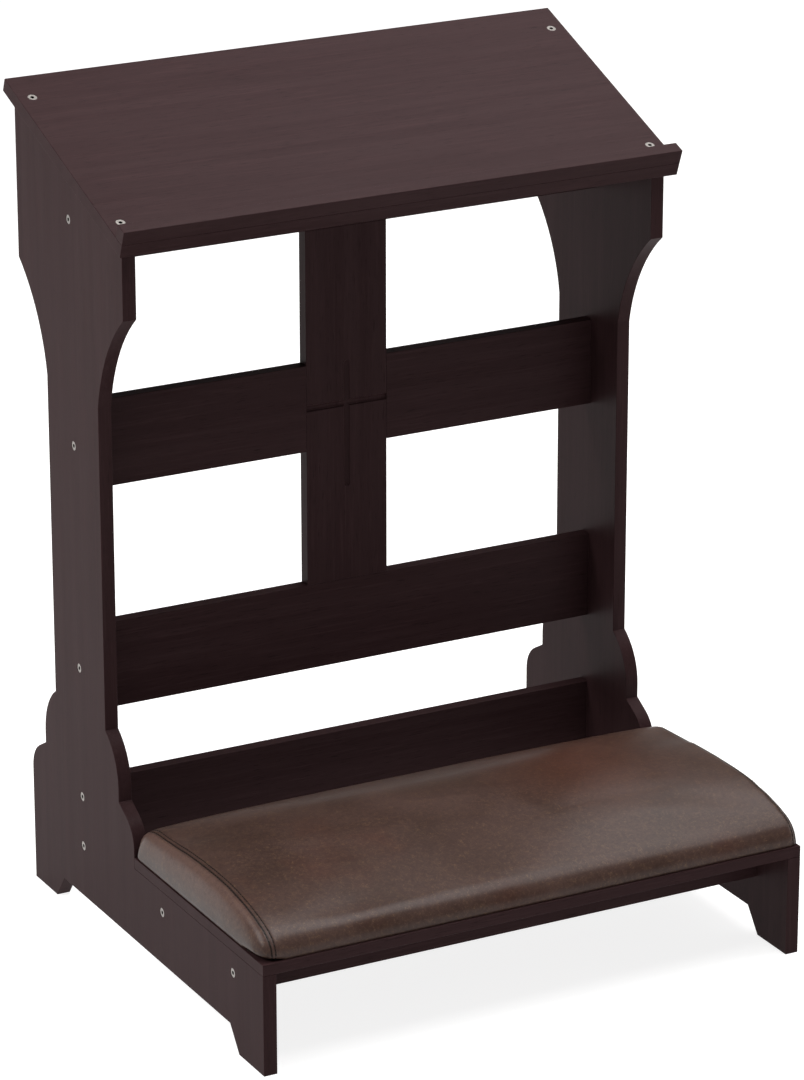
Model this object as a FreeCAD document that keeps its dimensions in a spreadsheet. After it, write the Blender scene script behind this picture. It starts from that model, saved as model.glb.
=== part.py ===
import FreeCAD
import Part
import os
import re
import Sketcher

# Kneeling bench: two shaped side panels carry a sloping desk with a book lip, a back frame
# whose upright and arms make a cross, and a low kneeler board with an upholstered cushion.
# Millimetres and degrees. +Z is up, the kneeler faces -Y and the width runs along X.
# The origin is on the floor, under the middle of the whole bench.

doc = FreeCAD.newDocument("kneeling_bench")

# ---------------------------------------------------------------- driving dimensions

DIMENSIONS = [
    # alias, value, meaning
    ("bench_width", 630, "outside faces of the two side panels"),
    ("panel_thickness", 15, "every board but the kneeler board"),
    ("edge_round", 0.5, "softened edge of every board"),
    ("panel_front", -285.2, "Y of the front feet"),
    ("panel_depth", 560, "side panel, front foot to back edge"),
    ("frame_width", 259, "side panel at the desk and at the base, front to back"),
    ("waist_width", 127, "side panel between desk and base, front to back"),
    ("step_width", 187, "side panel between its two scallops, front to back"),
    ("foot_length", 56.5, "flat under each foot"),
    ("notch_run", 20.5, "slope at each end of the cut-out between the feet"),
    ("notch_height", 27, "cut-out between the feet"),
    ("low_height", 110, "low front part of the side panel"),
    ("base_height", 130.8, "where the lower scallop leaves the base"),
    ("base_radius", 35, "lower scallop"),
    ("shoulder_run", 17.5, "lower scallop's round part, front to back"),
    ("shoulder_height", 161.1, "where the lower scallop turns straight"),
    ("step_height", 171.5, "corner between the two scallops"),
    ("step_round_height", 186.7, "where the upper scallop starts to turn"),
    ("step_radius", 65, "upper scallop"),
    ("waist_bottom", 241.5, "top of the upper scallop"),
    ("waist_top", 597, "where the waist starts to widen"),
    ("flare_radius", 185, "hollow curve from waist to desk"),
    ("flare_top", 708, "top of the hollow curve"),
    ("top_height", 784, "side panel's front edge at the desk"),
    ("desk_slope", 20.6, "desk, falling to the front"),
    ("desk_depth", 302, "desk board along its slope"),
    ("desk_nose", 14, "desk board in front of the side panels, along its slope"),
    ("desk_overhang", 8, "desk board beyond each side panel"),
    ("lip_depth", 15, "book lip along the slope"),
    ("lip_height", 16, "book lip above the desk board"),
    ("kneeler_thickness", 12, "kneeler board"),
    ("rail_width", 96, "rails, arms and upright"),
    ("low_rail_width", 44, "two rails under the kneeler board"),
    ("upper_rail_mid", 781.5, "height of the upper rail's middle"),
    ("arm_mid", 537.3, "height of the cross arms' middle"),
    ("lower_rail_mid", 289.7, "height of the lower rail's middle"),
    ("apron_mid", 114.2, "height of the back apron's middle"),
    ("front_rail_place", 69, "front rail's middle behind the panel's front"),
    ("mid_rail_place", 235, "mid rail's middle behind the panel's front"),
    ("groove_radius", 4, "ball cutter of the cross groove"),
    ("groove_depth", 2.4, "cross groove"),
    ("cross_above", 48, "cross groove above its crossing"),
    ("cross_below", 95, "cross groove below its crossing"),
    ("low_screw_height", 86, "connector screws of the two rails under the kneeler board"),
    ("apron_screw_offset", 28.5, "apron's screws from its middle"),
    ("desk_screw_inset", 38, "desk screws from the board's ends, along the slope"),
    ("kneeler_screw_inset", 40, "kneeler board's screws from its front and back"),
    ("dowel_offset", 32, "dowels from the middle of a rail's end"),
    ("arm_dowel_offset", 26, "dowels from the middle of a butt joint on the upright"),
    ("dowel_diameter", 8, "beech dowel"),
    ("dowel_length", 30, "beech dowel"),
    ("dowel_in_panel", 10, "dowel's depth in a side panel"),
    ("screw_head", 10, "connector screw's head"),
    ("screw_shank", 7, "connector screw's plain shank"),
    ("screw_core", 5, "connector screw's core"),
    ("screw_length", 50, "connector screw"),
    ("screw_recess", 0.3, "screw head below the face"),
    ("screw_socket", 4, "connector screw's hexagon socket, across flats"),
    ("small_head", 7.6, "wood screw's head"),
    ("small_shank", 4, "wood screw's shank"),
    ("small_socket", 2.5, "wood screw's hexagon socket, across flats"),
    ("lip_screw_length", 28, "wood screw through the desk into the lip"),
    ("lip_screw_place", 240, "outer lip screws from the middle"),
    ("cushion_screw_length", 19, "wood screw through the kneeler board into the cushion"),
    ("cushion_screw_across", 200, "cushion screws from the middle"),
    ("cushion_screw_along", 45, "cushion screws from the middle of the cushion"),
    ("cushion_width", 627, "cushion"),
    ("cushion_front", 1.5, "cushion behind the kneeler board's front"),
    ("cushion_depth", 295, "cushion's flat underside"),
    ("cushion_edge", 34, "cushion's height where front and back turn into the top"),
    ("cushion_back_run", 12, "cushion's rounded back, front to back"),
    ("cushion_front_run", 34, "cushion's rounded front, front to back"),
    ("cushion_back_radius", 25, "cushion's rounded back"),
    ("cushion_front_radius", 45, "cushion's rounded front"),
    ("cushion_crown_radius", 480, "cushion's crowned top"),
    ("cover_thickness", 1.5, "cushion's leather cover"),
    ("hem_width", 34, "cover turned under the cushion's base"),
    ("base_board_thickness", 9, "plywood in the cushion's underside"),
    ("base_board_inset", 14, "plywood from the cushion's edge"),
    ("staple_crown", 11, "staple, across its crown"),
    ("staple_wire", 0.9, "staple wire"),
    ("staple_leg", 6, "staple legs in the plywood"),
    ("staple_gap", 0.2, "staple crowns above the kneeler board"),
    ("staple_inset", 22, "staples from the cushion's edge"),
    ("drill_spare", 1, "how far each hole runs past its fastener"),
]

sheet = doc.addObject("Spreadsheet::Sheet", "Dims")
for row, (alias, value, meaning) in enumerate(DIMENSIONS, start=1):
    sheet.set(f"A{row}", meaning)
    sheet.set(f"B{row}", str(value))
    sheet.setAlias(f"B{row}", alias)
doc.recompute()


ALIASES = {alias for alias, value, meaning in DIMENSIONS}


def expression(text):
    """Puts the sheet's name before every alias in a formula."""
    return re.sub(
        "[a-z_]+", lambda word: ("Dims." if word[0] in ALIASES else "") + word[0], text)


def amount(text):
    """The number that a formula on the sheet gives now."""
    return float(sheet.evalExpression(expression(text)))


def bind(thing, **formulas):
    """Drives properties by formulas; a double underscore in a name stands for a dot."""
    for name, formula in formulas.items():
        thing.setExpression(name.replace("__", "."), expression(formula))


def place(thing, x, y, z):
    bind(thing, Placement__Base__x=x, Placement__Base__y=y, Placement__Base__z=z)


# ---------------------------------------------------------------- formulas used by many pieces

HALF_WIDTH = "bench_width / 2"
INNER_WIDTH = "( bench_width - 2 * panel_thickness )"
HALF_BOARD = "panel_thickness / 2"
KNEELER_DEPTH = "( panel_depth - frame_width )"
FRAME_MID = "( panel_depth - frame_width / 2 )"
FRAME_MID_Y = f"( panel_front + {FRAME_MID} )"
PANEL_TOP_BACK = "( top_height + frame_width * tan( desk_slope * 1 deg ) )"
KNEELER_TOP = "( low_height + kneeler_thickness )"
DESK_TILT_COS = "cos( desk_slope * 1 deg )"
DESK_TILT_SIN = "sin( desk_slope * 1 deg )"
CUSHION_START = "( panel_front + cushion_front )"
CUSHION_MID_Y = f"( {CUSHION_START} + cushion_depth / 2 )"

UP = FreeCAD.Vector(0, 0, 1)
DOWN = FreeCAD.Vector(0, 0, -1)
LEFT = FreeCAD.Vector(-1, 0, 0)
RIGHT = FreeCAD.Vector(1, 0, 0)
DESK_TURN = FreeCAD.Rotation(FreeCAD.Vector(1, 0, 0), amount("desk_slope"))
DESK_UP = DESK_TURN.multVec(UP)
DESK_DOWN = DESK_TURN.multVec(DOWN)


def on_desk(across, along, above):
    """Place of a point on the desk: across in X, along the slope from the board's nose,
    and above the board's underside."""
    nose = f"( panel_front + {KNEELER_DEPTH} - desk_nose * {DESK_TILT_COS} )"
    nose_height = f"( top_height - desk_nose * {DESK_TILT_SIN} )"
    y = f"{nose} + ( {along} ) * {DESK_TILT_COS} - ( {above} ) * {DESK_TILT_SIN}"
    z = f"{nose_height} + ( {along} ) * {DESK_TILT_SIN} + ( {above} ) * {DESK_TILT_COS}"
    return across, y, z


# ---------------------------------------------------------------- ways of making a piece

def body_with_sketch(name, plane_role):
    body = doc.addObject("PartDesign::Body", name)
    plane = next(item for item in body.Origin.OriginFeatures if item.Role == plane_role)
    sketch = body.newObject("Sketcher::SketchObject", name + "_outline")
    sketch.AttachmentSupport = [(plane, "")]
    sketch.MapMode = "FlatFace"
    return body, sketch


def draw_outline(sketch, corners):
    """Closed outline. A corner is two formulas and, where the side that leaves it is an arc,
    its radius with the way it turns: "left" bulges to the right of the walk, "right" to
    the left."""
    points = [FreeCAD.Vector(amount(corner[0]), amount(corner[1]), 0) for corner in corners]
    count = len(corners)
    starts = []
    for index, corner in enumerate(corners):
        first = points[index]
        last = points[(index + 1) % count]
        if len(corner) == 2:
            sketch.addGeometry(Part.LineSegment(first, last), False)
            starts.append((1, 2))
            continue
        radius = amount(corner[2])
        turns_left = corner[3] == "left"
        chord = last - first
        half = chord.Length / 2
        side = FreeCAD.Vector(chord.y, -chord.x, 0) / chord.Length
        rise = radius - (radius ** 2 - half ** 2) ** 0.5
        middle = (first + last) / 2 + side * (rise if turns_left else -rise)
        sketch.addGeometry(Part.Arc(first, middle, last), False)
        starts.append((1, 2) if turns_left else (2, 1))
    for index in range(count):
        following = (index + 1) % count
        here = starts[index][1]
        there = starts[following][0]
        sketch.addConstraint(Sketcher.Constraint("Coincident", index, here, following, there))
    for index, corner in enumerate(corners):
        start = starts[index][0]
        for kind, formula, value in (
            ("DistanceX", corner[0], points[index].x),
            ("DistanceY", corner[1], points[index].y),
        ):
            rule = Sketcher.Constraint(kind, -1, 1, index, start, value)
            number = sketch.addConstraint(rule)
            sketch.setExpression(f"Constraints[{number}]", expression(formula))
        if len(corner) == 4:
            rule = Sketcher.Constraint("Radius", index, amount(corner[2]))
            number = sketch.addConstraint(rule)
            sketch.setExpression(f"Constraints[{number}]", expression(corner[2]))


def sawn_board(name, plane_role, corners, thickness, reverse=False, rounded=True):
    """A board cut to an outline, with every edge softened."""
    body, sketch = body_with_sketch(name, plane_role)
    draw_outline(sketch, corners)
    pad = body.newObject("PartDesign::Pad", name + "_pad")
    pad.Profile = sketch
    pad.Reversed = reverse
    bind(pad, Length=thickness)
    if rounded:
        doc.recompute()
        soft = body.newObject("PartDesign::Fillet", name + "_soft_edges")
        soft.Base = (pad, ["Edge1"])
        soft.UseAllEdges = True
        bind(soft, Radius="edge_round")
        body.Tip = soft
    return body


def rectangle(width, height):
    return [("0", "0"), (width, "0"), (width, height), ("0", height)]


def turned(name, corners):
    """A round piece about Z, from half of its section: distance from the axis, height."""
    body, sketch = body_with_sketch(name, "XZ_Plane")
    draw_outline(sketch, corners)
    spin = body.newObject("PartDesign::Revolution", name + "_turn")
    spin.Profile = sketch
    spin.ReferenceAxis = (sketch, ["V_Axis"])
    spin.Angle = 360
    body.Tip = spin
    return body


def with_socket(body, across_flats, depth):
    """Cuts a hexagon socket down from the top of a screw's head."""
    plane = next(item for item in body.Origin.OriginFeatures if item.Role == "XY_Plane")
    sketch = body.newObject("Sketcher::SketchObject", body.Name + "_hexagon")
    sketch.AttachmentSupport = [(plane, "")]
    sketch.MapMode = "FlatFace"
    corner = f"{across_flats} / 2 / cos( 30 deg )"
    hexagon = [
        (f"{corner} * cos( {turn} deg )", f"{corner} * sin( {turn} deg )")
        for turn in range(0, 360, 60)
    ]
    draw_outline(sketch, hexagon)
    doc.recompute()
    before = body.Shape.Volume
    socket = body.newObject("PartDesign::Pocket", body.Name + "_socket")
    socket.Profile = sketch
    socket.Length = depth
    body.Tip = socket
    doc.recompute()
    if body.Shape.Volume >= before:
        raise RuntimeError(f"the socket of {body.Name} cuts nothing")
    return body


def copies(name, pattern, spots, facing):
    """One copy of a pattern at each spot, its own +Z turned to face the given way."""
    links = []
    for number, spot in enumerate(spots, start=1):
        link = doc.addObject("App::Link", f"{name}_{number}")
        link.LinkedObject = pattern
        link.Placement = FreeCAD.Placement(FreeCAD.Vector(), FreeCAD.Rotation(UP, facing))
        place(link, *spot)
        links.append(link)
    return links


def grouped(name, members):
    group = doc.addObject("Part::Compound", name)
    group.Links = members
    return group


def cut_by(name, blank, tools):
    """The finished piece: a blank with the fasteners' own holes in it."""
    piece = doc.addObject("Part::Cut", name)
    piece.Base = blank
    piece.Tool = grouped(name + "_holes", tools)
    return piece


# ---------------------------------------------------------------- fasteners

def screw_section(head, shank, core, length, grip, top, spare):
    """Half section of a countersunk screw. top is its head's height over the face it is
    driven into, and spare is how far its tip runs on."""
    cone = f"( ( {head} - {shank} ) / 2 )"
    start = "( 0 - screw_recess )"
    rim = f"( {start} - 0.5 )"
    neck = f"( {rim} - {cone} )"
    tip = f"( {start} - {length} - {spare} )"
    return [
        ("0", tip),
        (f"{core} / 4", tip),
        (f"{core} / 2", f"{tip} + 2"),
        (f"{core} / 2", f"0 - {grip} - 1"),
        (f"{shank} / 2", f"0 - {grip}"),
        (f"{shank} / 2", neck),
        (f"{head} / 2", rim),
        (f"{head} / 2", top),
        ("0", top),
    ]


def screw_and_hole(name, head, shank, core, length, grip, socket):
    section = (head, shank, core, length, grip)
    screw = turned(name, screw_section(*section, "0 - screw_recess", "0"))
    with_socket(screw, socket, 3)
    hole = turned(name + "_hole", screw_section(*section, "drill_spare", "drill_spare"))
    return screw, hole


connector = screw_and_hole(
    "connector_screw", "screw_head", "screw_shank", "screw_core", "screw_length",
    "panel_thickness", "screw_socket")
lip_screw = screw_and_hole(
    "lip_screw", "small_head", "small_shank", "3", "lip_screw_length",
    "panel_thickness", "small_socket")
cushion_screw = screw_and_hole(
    "cushion_screw", "small_head", "small_shank", "3", "cushion_screw_length",
    "kneeler_thickness", "small_socket")


def dowel_section(spare):
    radius = "dowel_diameter / 2"
    end = f"( dowel_length / 2 + {spare} )"
    return [
        ("0", f"0 - {end}"),
        (f"{radius} - 0.8", f"0 - {end}"),
        (radius, f"0 - {end} + 0.8"),
        (radius, f"{end} - 0.8"),
        (f"{radius} - 0.8", end),
        ("0", end),
    ]


dowel = (turned("dowel", dowel_section("0")), turned("dowel_hole", dowel_section("drill_spare")))


def fasten(name, kind, spots, facing):
    """A group of identical fasteners, and the group of the holes that they need."""
    solid, hole = kind
    group = grouped(name, copies(name + "_copy", solid, spots, facing))
    holes = grouped(name + "_bores", copies(name + "_bore", hole, spots, facing))
    return group, holes


RAIL_MIDS = ["upper_rail_mid", "arm_mid", "lower_rail_mid"]


def side_screw_spots(x):
    """Seven connector screws in each side panel."""
    frame = [(x, FRAME_MID_Y, height) for height in RAIL_MIDS]
    apron = [
        (x, FRAME_MID_Y, f"apron_mid + {way} * apron_screw_offset") for way in (1, -1)
    ]
    low = [
        (x, f"panel_front + {rail}", "low_screw_height")
        for rail in ("front_rail_place", "mid_rail_place")
    ]
    return frame + apron + low


def end_dowel_spots(sign):
    """Dowels that line the rails up on a side panel."""
    x = f"{sign} * ( {HALF_WIDTH} - panel_thickness - dowel_length / 2 + dowel_in_panel )"
    spots = [
        (x, FRAME_MID_Y, f"{height} + {way} * dowel_offset")
        for height in RAIL_MIDS
        for way in (1, -1)
    ]
    return spots + [(x, FRAME_MID_Y, "apron_mid")]


def arm_dowel_spots(sign):
    return [
        (f"{sign} * rail_width / 2", FRAME_MID_Y, f"arm_mid + {way} * arm_dowel_offset")
        for way in (1, -1)
    ]


def upright_dowel_spots(height):
    return [(f"{way} * arm_dowel_offset", FRAME_MID_Y, height) for way in (1, -1)]


UPRIGHT_BOTTOM = "( lower_rail_mid + rail_width / 2 )"
UPRIGHT_TOP = "( upper_rail_mid - rail_width / 2 )"
PANEL_MIDDLES = [f"{sign} * ( {HALF_WIDTH} - {HALF_BOARD} )" for sign in (-1, 1)]

fasteners = {
    "side_screws_left": fasten(
        "side_screws_left", connector, side_screw_spots(f"0 - {HALF_WIDTH}"), LEFT),
    "side_screws_right": fasten(
        "side_screws_right", connector, side_screw_spots(HALF_WIDTH), RIGHT),
    "desk_screws": fasten(
        "desk_screws", connector,
        [
            on_desk(x, along, "panel_thickness")
            for x in PANEL_MIDDLES
            for along in ("desk_screw_inset", "desk_depth - desk_screw_inset")
        ],
        DESK_UP),
    "kneeler_board_screws": fasten(
        "kneeler_board_screws", connector,
        [
            (x, f"panel_front + {along}", KNEELER_TOP)
            for x in PANEL_MIDDLES
            for along in ("kneeler_screw_inset", f"{KNEELER_DEPTH} - kneeler_screw_inset")
        ],
        UP),
    "lip_screws": fasten(
        "lip_screws", lip_screw,
        [on_desk(f"{way} * lip_screw_place", "lip_depth / 2", "0") for way in (-1, 0, 1)],
        DESK_DOWN),
    "cushion_screws": fasten(
        "cushion_screws", cushion_screw,
        [
            (
                f"{across} * cushion_screw_across",
                f"{CUSHION_MID_Y} + {along} * cushion_screw_along",
                "low_height",
            )
            for across in (-1, 1)
            for along in (-1, 1)
        ],
        DOWN),
    "rail_dowels_left": fasten("rail_dowels_left", dowel, end_dowel_spots(-1), LEFT),
    "rail_dowels_right": fasten("rail_dowels_right", dowel, end_dowel_spots(1), RIGHT),
    "arm_dowels_left": fasten("arm_dowels_left", dowel, arm_dowel_spots(-1), LEFT),
    "arm_dowels_right": fasten("arm_dowels_right", dowel, arm_dowel_spots(1), RIGHT),
    "upright_top_dowels": fasten(
        "upright_top_dowels", dowel, upright_dowel_spots(UPRIGHT_TOP), UP),
    "upright_bottom_dowels": fasten(
        "upright_bottom_dowels", dowel, upright_dowel_spots(UPRIGHT_BOTTOM), UP),
}
parts = {name: solids for name, (solids, holes) in fasteners.items()}
bores = {name: holes for name, (solids, holes) in fasteners.items()}


def holes_of(*names):
    return [bores[name] for name in names]


# ---------------------------------------------------------------- side panels

def frame_edge(width, back):
    """Front or back edge of the upright part of the panel, for one of its widths."""
    return f"{FRAME_MID} + {width} / 2" if back else f"{FRAME_MID} - {width} / 2"


def panel_outline():
    """Walks round the panel from the front foot, along the floor, up the back and down the
    front. Distances are from the panel's front edge and from the floor."""
    inner_base = f"{KNEELER_DEPTH} + shoulder_run"
    feet = [
        ("0", "0"),
        ("foot_length", "0"),
        ("foot_length + notch_run", "notch_height"),
        ("panel_depth - foot_length - notch_run", "notch_height"),
        ("panel_depth - foot_length", "0"),
        ("panel_depth", "0"),
    ]
    back = [
        ("panel_depth", "base_height", "base_radius", "left"),
        ("panel_depth - shoulder_run", "shoulder_height"),
        (frame_edge("step_width", True), "step_height"),
        (frame_edge("step_width", True), "step_round_height", "step_radius", "left"),
        (frame_edge("waist_width", True), "waist_bottom"),
        (frame_edge("waist_width", True), "waist_top", "flare_radius", "right"),
        ("panel_depth", "flare_top"),
        ("panel_depth", PANEL_TOP_BACK),
    ]
    front = [
        (KNEELER_DEPTH, "top_height"),
        (KNEELER_DEPTH, "flare_top", "flare_radius", "right"),
        (frame_edge("waist_width", False), "waist_top"),
        (frame_edge("waist_width", False), "waist_bottom", "step_radius", "left"),
        (frame_edge("step_width", False), "step_round_height"),
        (frame_edge("step_width", False), "step_height"),
        (inner_base, "shoulder_height", "base_radius", "left"),
        (KNEELER_DEPTH, "base_height"),
        (KNEELER_DEPTH, "low_height"),
        ("0", "low_height"),
    ]
    return feet + back + front


def side_panel(side):
    sign = -1 if side == "left" else 1
    blank = sawn_board(
        f"{side}_blank", "YZ_Plane", panel_outline(), "panel_thickness", reverse=sign > 0)
    place(blank, f"{sign} * {HALF_WIDTH}", "panel_front", "0")
    tools = holes_of(
        f"side_screws_{side}", f"rail_dowels_{side}", "desk_screws", "kneeler_board_screws")
    return cut_by(f"side_panel_{side}", blank, tools)


for side in ("left", "right"):
    parts[f"side_panel_{side}"] = side_panel(side)

# ---------------------------------------------------------------- desk and book lip

def desk_piece(name, along, above, depth, height, tools):
    """A board that lies on the slope, as wide as the desk."""
    width = "bench_width + 2 * desk_overhang"
    blank = sawn_board(f"{name}_blank", "XY_Plane", rectangle(width, depth), height)
    blank.Placement = FreeCAD.Placement(FreeCAD.Vector(), DESK_TURN)
    bind(blank, Placement__Rotation__Angle="desk_slope")
    place(blank, *on_desk(f"0 - {HALF_WIDTH} - desk_overhang", along, above))
    return cut_by(name, blank, tools)


parts["desk_board"] = desk_piece(
    "desk_board", "0", "0", "desk_depth", "panel_thickness",
    holes_of("desk_screws", "lip_screws"))
parts["book_lip"] = desk_piece(
    "book_lip", "0", "panel_thickness", "lip_depth", "lip_height", holes_of("lip_screws"))

# ---------------------------------------------------------------- rails, arms and upright

def rail(name, start, width, length, height, middle_y, tools):
    """A board on edge between X = start and start + length."""
    blank = sawn_board(f"{name}_blank", "XZ_Plane", rectangle(length, width), "panel_thickness")
    place(blank, start, f"{middle_y} + {HALF_BOARD}", f"{height} - {width} / 2")
    return cut_by(name, blank, tools)


def full_rail(name, width, height, middle_y, *tool_names):
    start = f"0 - {INNER_WIDTH} / 2"
    ends = ("side_screws_left", "side_screws_right", "rail_dowels_left", "rail_dowels_right")
    tools = holes_of(*ends, *tool_names)
    parts[name] = rail(name, start, width, INNER_WIDTH, height, middle_y, tools)


full_rail("upper_rail", "rail_width", "upper_rail_mid", FRAME_MID_Y, "upright_top_dowels")
full_rail("lower_rail", "rail_width", "lower_rail_mid", FRAME_MID_Y, "upright_bottom_dowels")
full_rail("back_apron", "rail_width", "apron_mid", FRAME_MID_Y)
for name, where in (("front_rail", "front_rail_place"), ("mid_rail", "mid_rail_place")):
    height = "( low_height - low_rail_width / 2 )"
    full_rail(name, "low_rail_width", height, f"( panel_front + {where} )")

for side, start in (("left", f"0 - {INNER_WIDTH} / 2"), ("right", "rail_width / 2")):
    length = f"( {INNER_WIDTH} - rail_width ) / 2"
    tools = holes_of(f"side_screws_{side}", f"rail_dowels_{side}", f"arm_dowels_{side}")
    name = f"cross_arm_{side}"
    parts[name] = rail(name, start, "rail_width", length, "arm_mid", FRAME_MID_Y, tools)


def groove_cutter():
    """A ball-nosed cutter's path: down the upright with round ends, and right across it."""
    axis_y = f"{FRAME_MID_Y} - {HALF_BOARD} + groove_depth - groove_radius"
    length = "( cross_above + cross_below - 2 * groove_radius )"
    down = doc.addObject("Part::Cylinder", "groove_down")
    bind(down, Radius="groove_radius", Height=length)
    place(down, "0", axis_y, "arm_mid - cross_below + groove_radius")
    across = doc.addObject("Part::Cylinder", "groove_across")
    across.Placement = FreeCAD.Placement(FreeCAD.Vector(), FreeCAD.Rotation(UP, RIGHT))
    bind(across, Radius="groove_radius", Height="rail_width + 2 * drill_spare")
    place(across, "0 - rail_width / 2 - drill_spare", axis_y, "arm_mid")
    ends = []
    for end, height in (
        ("top", "arm_mid + cross_above - groove_radius"),
        ("foot", "arm_mid - cross_below + groove_radius"),
    ):
        ball = doc.addObject("Part::Sphere", f"groove_{end}")
        bind(ball, Radius="groove_radius")
        place(ball, "0", axis_y, height)
        ends.append(ball)
    cutter = doc.addObject("Part::MultiFuse", "cross_groove")
    cutter.Shapes = [down, across, *ends]
    return cutter


parts["centre_upright"] = rail(
    "centre_upright", "0 - rail_width / 2", f"( {UPRIGHT_TOP} - {UPRIGHT_BOTTOM} )",
    "rail_width", f"( {UPRIGHT_TOP} + {UPRIGHT_BOTTOM} ) / 2", FRAME_MID_Y,
    [groove_cutter()] + holes_of(
        "arm_dowels_left", "arm_dowels_right", "upright_top_dowels", "upright_bottom_dowels"))

# ---------------------------------------------------------------- kneeler board

kneeler_blank = sawn_board(
    "kneeler_blank", "XY_Plane", rectangle("bench_width", KNEELER_DEPTH), "kneeler_thickness")
place(kneeler_blank, f"0 - {HALF_WIDTH}", "panel_front", "low_height")
parts["kneeler_board"] = cut_by(
    "kneeler_board", kneeler_blank, holes_of("kneeler_board_screws", "cushion_screws"))

# ---------------------------------------------------------------- cushion

def cushion_block(name, inset):
    """The cushion's section drawn out to its width, made smaller all round by inset."""
    top = f"( cushion_edge - {inset} )"
    back = f"( cushion_depth - {inset} )"
    section = [
        (inset, inset),
        (back, inset, f"cushion_back_radius - {inset}", "left"),
        (f"{back} - cushion_back_run", top, f"cushion_crown_radius - {inset}", "left"),
        (f"{inset} + cushion_front_run", top, f"cushion_front_radius - {inset}", "left"),
    ]
    length = f"( cushion_width - 2 * {inset} )"
    block = sawn_board(name, "YZ_Plane", section, length, rounded=False)
    place(block, f"0 - {length} / 2", CUSHION_START, KNEELER_TOP)
    return block


def box(name, width, depth, height, x, y, z):
    solid = doc.addObject("Part::Box", name)
    bind(solid, Length=width, Width=depth, Height=height)
    place(solid, x, y, z)
    return solid


def ring_box(name, inset, bottom, height):
    """A box under the cushion, set in from its edge all round."""
    width = f"( cushion_width - 2 * {inset} )"
    depth = f"( cushion_depth - 2 * {inset} )"
    return box(
        name, width, depth, height,
        f"0 - {width} / 2", f"{CUSHION_START} + {inset}", f"{KNEELER_TOP} + {bottom}")


def staple(name):
    """A wire staple, crown down along X, legs up."""
    half = "staple_crown / 2"
    crown = box(
        f"{name}_crown", "staple_crown", "staple_wire", "staple_wire",
        f"0 - {half}", "0 - staple_wire / 2", "0")
    legs = [
        box(
            f"{name}_leg_{number}", "staple_wire", "staple_wire",
            "cover_thickness - staple_gap + staple_leg", x, "0 - staple_wire / 2", "0")
        for number, x in enumerate((f"0 - {half}", f"{half} - staple_wire"), start=1)
    ]
    wires = doc.addObject("Part::MultiFuse", name)
    wires.Shapes = [crown, *legs]
    return wires


def staple_spots():
    """Five staples along each long side of the hem."""
    return [
        (
            f"{step} * 130",
            f"{CUSHION_MID_Y} + {way} * ( cushion_depth / 2 - staple_inset )",
            f"{KNEELER_TOP} + staple_gap",
        )
        for way in (-1, 1)
        for step in (-2, -1, 0, 1, 2)
    ]


parts["cushion_staples"] = grouped(
    "cushion_staples", copies("cushion_staple", staple("staple"), staple_spots(), UP))

outer_block = cushion_block("cushion_outer", "0")
inner_block = cushion_block("cushion_inner", "cover_thickness")
base_blank = ring_box("base_blank", "base_board_inset", "cover_thickness", "base_board_thickness")
hem_window = ring_box("hem_window", "hem_width", "0 - drill_spare", "cover_thickness + drill_spare")

parts["cushion_base"] = cut_by(
    "cushion_base", base_blank, holes_of("cushion_screws") + [parts["cushion_staples"]])
parts["cushion_foam"] = cut_by("cushion_foam", inner_block, [base_blank])
parts["cushion_cover"] = cut_by(
    "cushion_cover", outer_block, [inner_block, hem_window, parts["cushion_staples"]])

# ---------------------------------------------------------------- check and write

doc.recompute()
for item in doc.Objects:
    if "Invalid" in item.State or "Error" in item.State:
        raise RuntimeError(f"{item.Name} did not build: {item.State}")

os.makedirs("parts", exist_ok=True)
for name, piece in parts.items():
    piece.Label = name
    shape = piece.Shape
    if shape.isNull() or not shape.isValid() or not shape.Solids:
        raise RuntimeError(f"{name} has no valid solid")
    shape.exportStep(f"parts/{piece.Label}.step")
    extent = shape.optimalBoundingBox(False)
    print(
        f"{name:22s} solids {len(shape.Solids):2d}  volume {shape.Volume / 1000:8.1f} cm3  "
        f"X {extent.XMin:7.1f} {extent.XMax:7.1f}  Y {extent.YMin:7.1f} {extent.YMax:7.1f}  "
        f"Z {extent.ZMin:6.1f} {extent.ZMax:6.1f}")
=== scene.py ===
# %% [markdown]
# # A kneeling bench
# A kneeling bench carries a book at the height of a kneeling person's hands, and has a padded
# board for the knees. Ours is stained almost black-brown, with a leather cushion. The boards
# come from the CAD frame as they are, and get their finish here. The cushion is a soft thing,
# so it is made again here as cloth blown up over its foam.

# %% The frame
import math

import bpy
from mathutils import Matrix, Vector
from mathutils.bvhtree import BVHTree


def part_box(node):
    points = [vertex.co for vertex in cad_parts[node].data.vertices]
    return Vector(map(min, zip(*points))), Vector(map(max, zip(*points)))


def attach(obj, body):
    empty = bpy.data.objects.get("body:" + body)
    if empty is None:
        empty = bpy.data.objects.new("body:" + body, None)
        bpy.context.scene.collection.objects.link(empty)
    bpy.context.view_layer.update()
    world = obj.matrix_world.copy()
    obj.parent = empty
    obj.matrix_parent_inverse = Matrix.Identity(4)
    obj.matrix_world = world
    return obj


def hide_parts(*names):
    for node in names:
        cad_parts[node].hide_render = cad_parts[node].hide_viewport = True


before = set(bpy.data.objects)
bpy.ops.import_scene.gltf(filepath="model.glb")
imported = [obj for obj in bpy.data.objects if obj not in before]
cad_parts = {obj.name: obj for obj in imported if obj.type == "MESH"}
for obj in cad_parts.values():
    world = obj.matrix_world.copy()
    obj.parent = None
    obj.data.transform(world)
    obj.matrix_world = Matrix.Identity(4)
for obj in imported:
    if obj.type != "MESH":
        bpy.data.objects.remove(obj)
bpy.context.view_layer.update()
MM = 0.001

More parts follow.
